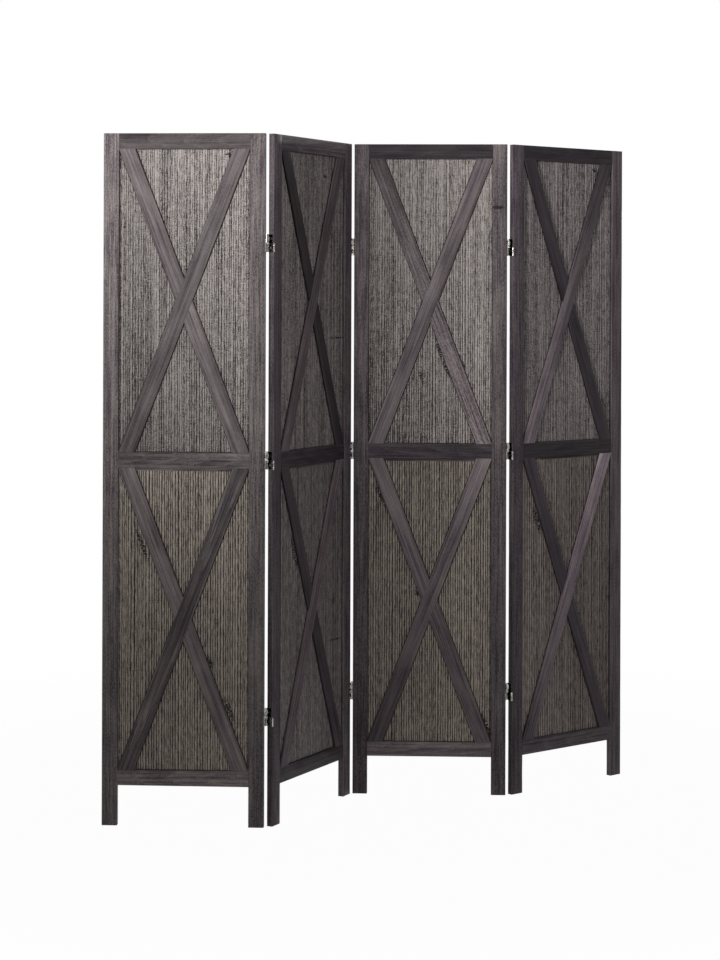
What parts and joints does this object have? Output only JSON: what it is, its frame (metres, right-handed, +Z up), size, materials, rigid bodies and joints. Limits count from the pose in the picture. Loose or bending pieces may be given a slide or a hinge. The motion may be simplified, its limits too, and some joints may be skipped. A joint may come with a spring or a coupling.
{
  "type": "folding screen",
  "caption": "Free-standing folding room divider of hinged wooden panels, each a grooved frame with boards and crossed braces, in a brushed grey-brown stain.",
  "frame": {"origin": "on the floor, at the middle of the rectangle that the standing screen covers at rest", "axes": "+Z up, +X to the right as seen from the front, +Y from the front with the braces towards the back"},
  "size_m": [1.335, 0.6294, 1.7],
  "materials": {
    "frame_wood": "grey-brown stain over brushed softwood, satin",
    "board_wood": "rubbed grey-brown stain over brushed boards, matt",
    "brace_wood": "grey-brown stain over brushed softwood, satin",
    "hinge_steel": "darkened steel, worn bright at the knuckles",
    "pin_steel": "bright drawn steel",
    "screw_steel": "zinc-plated steel"
  },
  "bodies": {
    "panel_1": {"panel_1_left_stile": "frame_wood", "panel_1_right_stile": "frame_wood", "panel_1_top_rail": "frame_wood", "panel_1_middle_rail": "frame_wood", "panel_1_bottom_rail": "frame_wood", "panel_1_upper_board": "board_wood", "panel_1_lower_board": "board_wood", "panel_1_upper_long_brace": "brace_wood", "panel_1_lower_long_brace": "brace_wood", "panel_1_upper_short_braces": "brace_wood", "panel_1_lower_short_braces": "brace_wood", "panel_1_hinge_leaves": "hinge_steel", "panel_1_hinge_links": "hinge_steel", "panel_1_hinge_pins": "pin_steel", "panel_1_hinge_screws": "screw_steel"},
    "panel_2": {"panel_2_left_stile": "frame_wood", "panel_2_right_stile": "frame_wood", "panel_2_top_rail": "frame_wood", "panel_2_middle_rail": "frame_wood", "panel_2_bottom_rail": "frame_wood", "panel_2_upper_board": "board_wood", "panel_2_lower_board": "board_wood", "panel_2_upper_long_brace": "brace_wood", "panel_2_lower_long_brace": "brace_wood", "panel_2_upper_short_braces": "brace_wood", "panel_2_lower_short_braces": "brace_wood", "panel_2_hinge_leaves": "hinge_steel", "panel_2_hinge_links": "hinge_steel", "panel_2_hinge_pins": "pin_steel", "panel_2_hinge_screws": "screw_steel"},
    "panel_3": {"panel_3_left_stile": "frame_wood", "panel_3_right_stile": "frame_wood", "panel_3_top_rail": "frame_wood", "panel_3_middle_rail": "frame_wood", "panel_3_bottom_rail": "frame_wood", "panel_3_upper_board": "board_wood", "panel_3_lower_board": "board_wood", "panel_3_upper_long_brace": "brace_wood", "panel_3_lower_long_brace": "brace_wood", "panel_3_upper_short_braces": "brace_wood", "panel_3_lower_short_braces": "brace_wood", "panel_3_hinge_leaves": "hinge_steel", "panel_3_hinge_links": "hinge_steel", "panel_3_hinge_pins": "pin_steel", "panel_3_hinge_screws": "screw_steel"},
    "panel_4": {"panel_4_left_stile": "frame_wood", "panel_4_right_stile": "frame_wood", "panel_4_top_rail": "frame_wood", "panel_4_middle_rail": "frame_wood", "panel_4_bottom_rail": "frame_wood", "panel_4_upper_board": "board_wood", "panel_4_lower_board": "board_wood", "panel_4_upper_long_brace": "brace_wood", "panel_4_lower_long_brace": "brace_wood", "panel_4_upper_short_braces": "brace_wood", "panel_4_lower_short_braces": "brace_wood", "panel_4_hinge_leaves": "hinge_steel", "panel_4_hinge_links": "hinge_steel", "panel_4_hinge_pins": "pin_steel", "panel_4_hinge_screws": "screw_steel"}
  },
  "joints": [
    {"name": "fold_1_2", "type": "hinge", "parent": "panel_1", "child": "panel_2", "pos_m": [-0.26411, -0.29383, 0.9], "axis": [0, 0, 1], "range_deg": [-65.9, 112.1]},
    {"name": "fold_2_3", "type": "hinge", "parent": "panel_2", "child": "panel_3", "pos_m": [-0.06172, 0.05905, 0.9], "axis": [0, 0, 1], "range_deg": [-113.1, 64.9]},
    {"name": "fold_3_4", "type": "hinge", "parent": "panel_3", "child": "panel_4", "pos_m": [0.34507, 0.06144, 0.9], "axis": [0, 0, 1], "range_deg": [-41.4, 136.6]}
  ]
}
